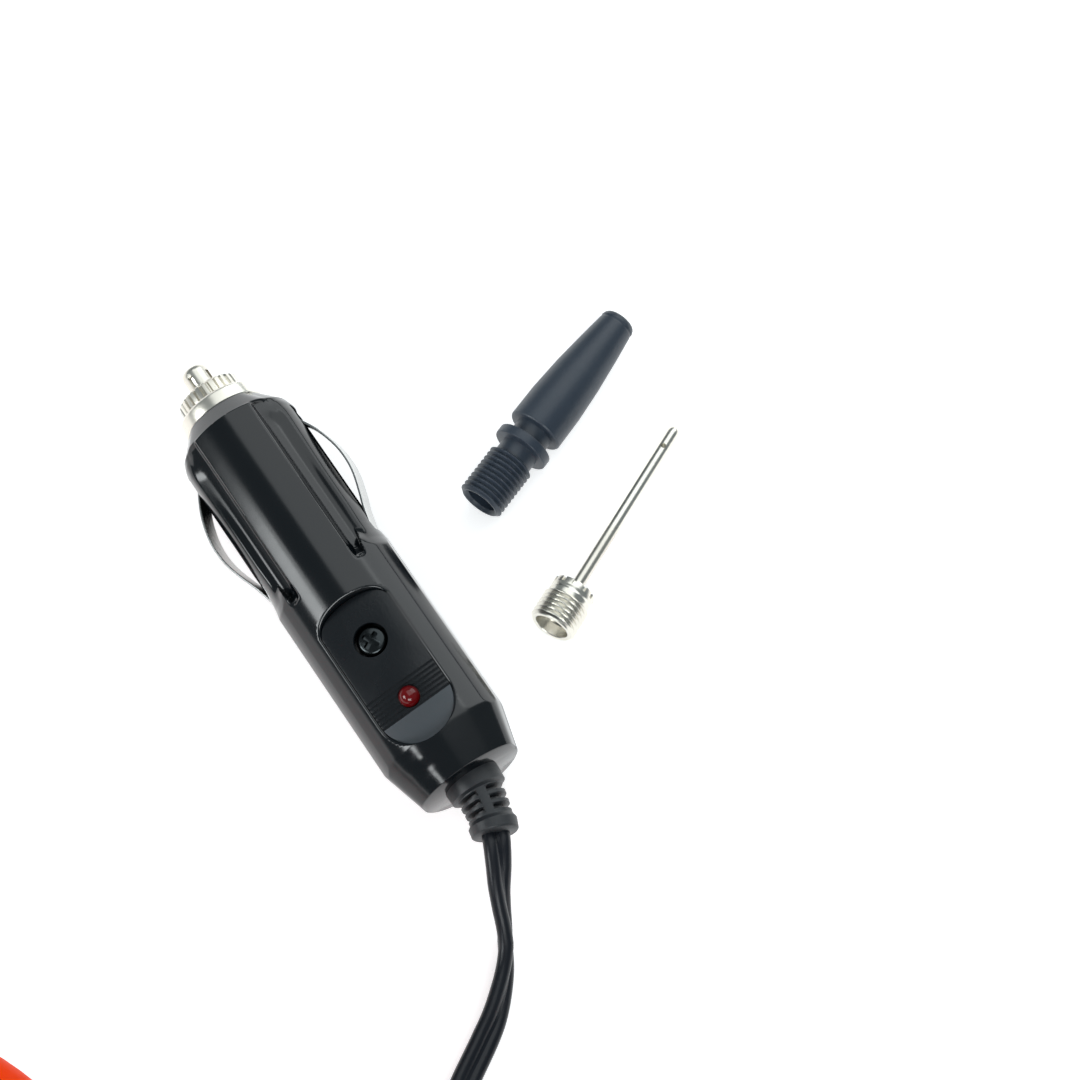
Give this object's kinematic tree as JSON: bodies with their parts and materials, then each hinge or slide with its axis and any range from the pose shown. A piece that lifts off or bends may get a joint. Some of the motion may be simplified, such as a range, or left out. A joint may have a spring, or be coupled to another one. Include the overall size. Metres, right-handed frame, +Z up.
{
  "type": "portable tire inflator",
  "caption": "Portable 12 V tire inflator with handle, gauge, rocker switch, wound lead, accessory-socket plug, nozzle adaptor and ball needle.",
  "frame": {"origin": "middle of the underside of the housing's flat rubber sole", "axes": "+Z up, -Y towards the gauge and switch, +X towards the lead's gland"},
  "size_m": [0.2826, 0.2193, 0.1561],
  "materials": {
    "housing": "satin",
    "rubber": "matte",
    "panel": "satin",
    "screw_steel": "satin",
    "dial": "satin",
    "pointer": "satin",
    "lens": "clear",
    "steel": "satin",
    "gear_plastic": "satin",
    "cast_aluminium": "satin",
    "brass": "polished",
    "hose": "satin",
    "cable": "satin",
    "plug_black": "glossy",
    "plate_black": "satin",
    "nickel": "polished",
    "fuse_glass": "glossy",
    "spring_steel": "satin",
    "lamp_red": "glossy",
    "board": "satin",
    "adaptor": "satin"
  },
  "bodies": {
    "inflator": {"front_shell": "housing", "rear_shell": "housing", "handle": "housing", "rubber_sole": "rubber", "handle_grip": "rubber", "front_panel": "panel", "gauge_bezel": "panel", "switch_frame": "panel", "shell_screws": "screw_steel", "plug_screw": "screw_steel", "gauge_dial": "dial", "gauge_lens": "lens", "motor_can": "steel", "gear_axle": "steel", "frame_plate": "steel", "gauge_can": "steel", "cylinder_block": "cast_aluminium", "cylinder_head": "cast_aluminium", "hose_outlet": "brass", "outlet_pipe": "hose", "gauge_pipe": "hose", "supply_wires": "cable", "cord_gland": "cable", "power_cord_tail": "cable", "power_cord_coil": "cable", "power_cord": "cable", "plug_strain_relief": "cable", "plug_upper_shell": "plug_black", "plug_lower_shell": "plug_black", "plug_face_plate": "plate_black", "plug_collar": "nickel", "needle_hub": "nickel", "needle_tube": "nickel", "plug_spring": "spring_steel", "plug_lamp": "lamp_red", "plug_circuit_board": "board", "nozzle_adaptor": "adaptor"},
    "fuse_cap": {"plug_fuse_cap": "nickel"},
    "tip_pin": {"plug_tip_pin": "nickel", "plug_fuse": "fuse_glass"},
    "contact_left": {"plug_contact_left": "nickel"},
    "contact_right": {"plug_contact_right": "nickel"},
    "pointer": {"gauge_pointer": "pointer"},
    "rocker": {"rocker_switch": "panel"},
    "gear": {"drive_gear": "gear_plastic"},
    "motor_shaft": {"motor_shaft": "steel"},
    "piston": {"piston_rod": "cast_aluminium", "piston_seal": "rubber"}
  },
  "joints": [
    {"name": "plug_cap_turn", "type": "hinge", "parent": "inflator", "child": "fuse_cap", "pos_m": [0.0724, 0.15754, 0.0103], "axis": [0.5505, -0.8348, 0], "range_deg": [0, 720]},
    {"name": "tip_pin_press", "type": "slide", "parent": "inflator", "child": "tip_pin", "axis": [0.5505, -0.8348, 0], "range_m": [0, 0.0025], "stiffness_N_per_m": 600, "deforming": ["plug_spring"]},
    {"name": "contact_left_press", "type": "slide", "parent": "inflator", "child": "contact_left", "axis": [0.8118, 0.5353, 0.2334], "range_m": [0, 0.002], "stiffness_N_per_m": 800},
    {"name": "contact_right_press", "type": "slide", "parent": "inflator", "child": "contact_right", "axis": [-0.8118, -0.5353, -0.2334], "range_m": [0, 0.002], "stiffness_N_per_m": 800},
    {"name": "gauge_turn", "type": "hinge", "parent": "inflator", "child": "pointer", "pos_m": [0, -0.0388, 0.07], "axis": [0, 1, 0], "range_deg": [0, 270], "stiffness_Nm_per_rad": 0.0005},
    {"name": "rocker_tilt", "type": "hinge", "parent": "inflator", "child": "rocker", "pos_m": [0, -0.0365, 0.028], "axis": [-1, 0, 0], "range_deg": [0, 16]},
    {"name": "gear_spin", "type": "hinge", "parent": "inflator", "child": "gear", "pos_m": [-0.019, 0.014, 0.04532], "axis": [1, 0, 0], "continuous": true},
    {"name": "motor_spin", "type": "hinge", "parent": "inflator", "child": "motor_shaft", "pos_m": [-0.019, 0.014, 0.026], "axis": [1, 0, 0], "continuous": true},
    {"name": "piston_slide", "type": "slide", "parent": "inflator", "child": "piston", "axis": [0, 0, 1], "range_m": [0, 0.014]}
  ],
  "couplings": [
    {"joint": "motor_spin", "follows": "gear_spin", "ratio": -5}
  ]
}
